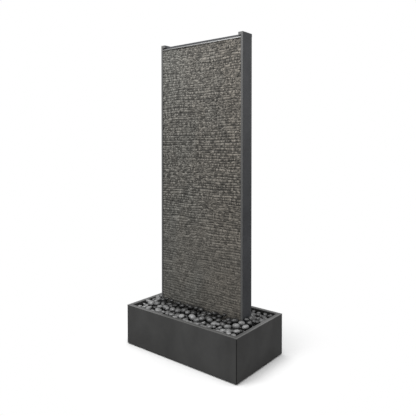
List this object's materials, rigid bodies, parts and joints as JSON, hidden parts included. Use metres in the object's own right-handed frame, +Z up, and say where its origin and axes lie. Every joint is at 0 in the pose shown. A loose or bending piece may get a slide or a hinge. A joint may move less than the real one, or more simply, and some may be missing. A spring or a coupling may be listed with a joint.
{
  "type": "garden water wall",
  "caption": "Free-standing water wall: tall textured stone slab between two dark metal fins, standing in a low rectangular metal basin of polished pebbles.",
  "frame": {"origin": "on the ground, at the middle of the basin", "axes": "+Z up, the slab's wet face looks along -Y, +X to the viewer's right"},
  "size_m": [0.812, 0.4585, 1.823],
  "materials": {
    "basin_paint": "satin charcoal powder coat with a fine grain",
    "tower_paint": "satin charcoal powder coat",
    "rubber": "matt black rubber",
    "brass": "dull brass",
    "galvanised": "galvanised steel",
    "stainless": "brushed stainless steel",
    "pebble": "polished black river pebbles",
    "slate": "split-face grey-green stone",
    "board": "foamed plastic board",
    "grey_plastic": "grey pressure pipe",
    "black_plastic": "black moulded plastic",
    "red_plastic": "red moulded plastic",
    "white_plastic": "white moulded plastic",
    "ferrite": "ferrite magnet",
    "alumina": "polished ceramic",
    "bush_rubber": "matt rubber"
  },
  "bodies": {
    "fountain": {"basin_shell": "basin_paint", "foot_pads": "rubber", "drain_fitting": "brass", "drain_gasket": "rubber", "drain_nut": "brass", "cable_grommet": "rubber", "grate_ledges": "galvanised", "stand_frame": "galvanised", "tower_bolts": "stainless", "tower_nuts": "stainless", "front_grate": "galvanised", "left_grate": "galvanised", "right_grate": "galvanised", "front_pebbles": "pebble", "left_pebbles": "pebble", "right_pebbles": "pebble", "left_fin": "tower_paint", "right_fin": "tower_paint", "bottom_rail": "galvanised", "lower_rail": "galvanised", "upper_rail": "galvanised", "top_rail": "galvanised", "slab_shelf": "galvanised", "shelf_screws": "stainless", "stone_slab": "slate", "backing_board": "board", "rear_panel": "tower_paint", "panel_screws": "stainless", "header_trough": "stainless", "trough_brackets": "galvanised", "spill_lip": "stainless", "tank_connector": "grey_plastic", "connector_nut": "grey_plastic", "spray_tee": "grey_plastic", "spray_bars": "grey_plastic", "spray_caps": "grey_plastic", "bar_cradles": "grey_plastic", "riser_pipe": "grey_plastic", "pipe_clips": "grey_plastic", "riser_elbow": "grey_plastic", "riser_hose": "rubber", "hose_clamps": "stainless", "pump_body": "black_plastic", "pump_volute": "black_plastic", "pump_shaft": "alumina", "shaft_bushes": "bush_rubber", "suction_feet": "rubber"},
    "rotor": {"impeller": "white_plastic", "rotor_magnet": "ferrite"},
    "cage": {"strainer_cage": "black_plastic"},
    "dial": {"flow_dial": "red_plastic"},
    "stopper": {"drain_stopper": "rubber"},
    "cover": {"trough_cover": "tower_paint"},
    "rear_tray": {"back_grate": "galvanised", "back_pebbles": "pebble"}
  },
  "joints": [
    {"name": "rotor_spin", "type": "hinge", "parent": "fountain", "child": "rotor", "pos_m": [0.09, 0.15, 0.046], "axis": [1, 0, 0], "continuous": true},
    {"name": "cage_pull", "type": "slide", "parent": "fountain", "child": "cage", "axis": [-1, 0, 0], "range_m": [0, 0.04]},
    {"name": "dial_turn", "type": "hinge", "parent": "cage", "child": "dial", "pos_m": [0.036, 0.15, 0.046], "axis": [1, 0, 0], "range_deg": [0, 90]},
    {"name": "stopper_lift", "type": "slide", "parent": "fountain", "child": "stopper", "axis": [0, 0, 1], "range_m": [0, 0.06]},
    {"name": "cover_lift", "type": "slide", "parent": "fountain", "child": "cover", "axis": [0, 0, 1], "range_m": [0, 0.08]},
    {"name": "tray_lift", "type": "slide", "parent": "fountain", "child": "rear_tray", "axis": [0, 0, 1], "range_m": [0, 0.25]}
  ]
}
